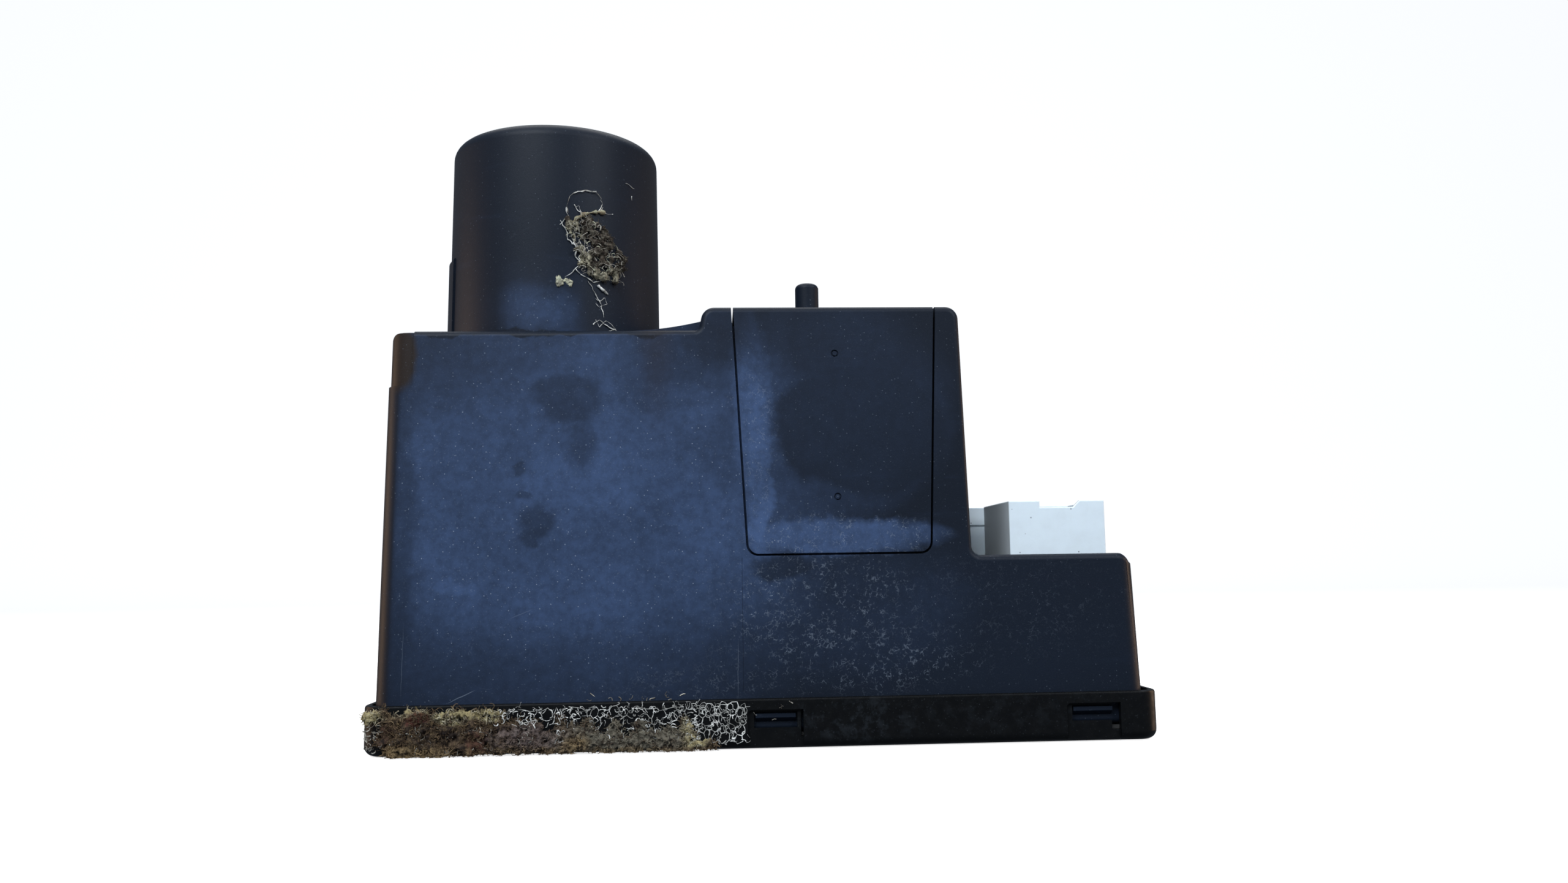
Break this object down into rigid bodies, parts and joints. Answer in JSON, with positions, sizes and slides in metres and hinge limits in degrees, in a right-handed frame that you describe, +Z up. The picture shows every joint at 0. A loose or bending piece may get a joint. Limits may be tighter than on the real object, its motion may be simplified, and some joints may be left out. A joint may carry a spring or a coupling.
{
  "type": "central locking air pump",
  "caption": "Black plastic air pump unit for central locking: a round motor turret, a valve block with hose nozzles and open plug sockets on a clipped base tray.",
  "frame": {"origin": "centre of the base tray's underside", "axes": "+X from the motor turret to the plug sockets, +Y from the front wall to the back wall, +Z up through the turret"},
  "size_m": [0.2, 0.072, 0.1638],
  "materials": {
    "black_moulding": "semi-gloss moulded",
    "black_tray": "semi-gloss moulded",
    "white_socket": "satin moulded",
    "grey_moulding": "satin moulded",
    "black_rubber": "matte",
    "zinc_steel": "zinc plated",
    "ferrite": "matte ceramic",
    "laminated_iron": "stacked sheet",
    "enamelled_copper": "enamelled wire",
    "graphite": "dry carbon",
    "sintered_bronze": "sintered",
    "die_cast_alloy": "die cast",
    "green_laminate": "solder mask",
    "component_black": "moulded epoxy",
    "capacitor_sleeve": "shrink sleeve",
    "tinned_pin": "tinned",
    "filter_foam": "open-cell foam",
    "red_lead": "insulated wire",
    "black_lead": "insulated wire"
  },
  "bodies": {
    "unit": {"air_hose": "black_rubber", "base_tray": "black_tray", "brush_left": "graphite", "brush_plate": "grey_moulding", "brush_right": "graphite", "control_board": "green_laminate", "controller_chip": "component_black", "housing": "black_moulding", "intake_filter": "filter_foam", "isolator_cap": "black_rubber", "isolator_foot": "black_rubber", "isolator_ring": "black_rubber", "lower_bearing": "sintered_bronze", "motor_can": "zinc_steel", "motor_lead_black": "black_lead", "motor_lead_red": "red_lead", "motor_magnet_front": "ferrite", "motor_magnet_rear": "ferrite", "pins_front": "tinned_pin", "pins_rear": "tinned_pin", "pressure_sensor": "component_black", "pump_bottom_plate": "die_cast_alloy", "pump_ring": "die_cast_alloy", "pump_screw_1": "zinc_steel", "pump_screw_2": "zinc_steel", "pump_screw_3": "zinc_steel", "pump_top_plate": "die_cast_alloy", "relay_front": "component_black", "relay_rear": "component_black", "smoothing_capacitor": "capacitor_sleeve", "socket_front": "white_socket", "socket_rear": "white_socket", "tray_seal": "black_rubber", "upper_bearing": "sintered_bronze", "valve_coil_front": "enamelled_copper", "valve_coil_rear": "enamelled_copper", "valve_cover": "black_moulding", "valve_manifold": "grey_moulding", "valve_nipple_front": "black_moulding", "valve_nipple_rear": "black_moulding", "valve_spring_front": "tinned_pin", "valve_spring_rear": "tinned_pin", "valve_yoke_front": "zinc_steel", "valve_yoke_rear": "zinc_steel"},
    "rotor": {"motor_shaft": "zinc_steel", "armature_core": "laminated_iron", "winding_lower": "enamelled_copper", "winding_upper": "enamelled_copper", "commutator": "enamelled_copper", "pump_rotor": "graphite", "pump_vane_1": "graphite", "pump_vane_2": "graphite", "pump_vane_3": "graphite", "pump_vane_4": "graphite"},
    "front_plunger": {"valve_plunger_front": "zinc_steel"},
    "rear_plunger": {"valve_plunger_rear": "zinc_steel"}
  },
  "joints": [
    {"name": "rotor_spin", "type": "hinge", "parent": "unit", "child": "rotor", "pos_m": [-0.0573, 0, 0.074], "axis": [0, 0, 1], "continuous": true},
    {"name": "front_valve_slide", "type": "slide", "parent": "unit", "child": "front_plunger", "axis": [0, 0, 1], "range_m": [0, 0.0015], "stiffness_N_per_m": 400, "springref_m": -0.001, "deforming": ["valve_spring_front"]},
    {"name": "rear_valve_slide", "type": "slide", "parent": "unit", "child": "rear_plunger", "axis": [0, 0, 1], "range_m": [0, 0.0015], "stiffness_N_per_m": 400, "springref_m": -0.001, "deforming": ["valve_spring_rear"]}
  ]
}
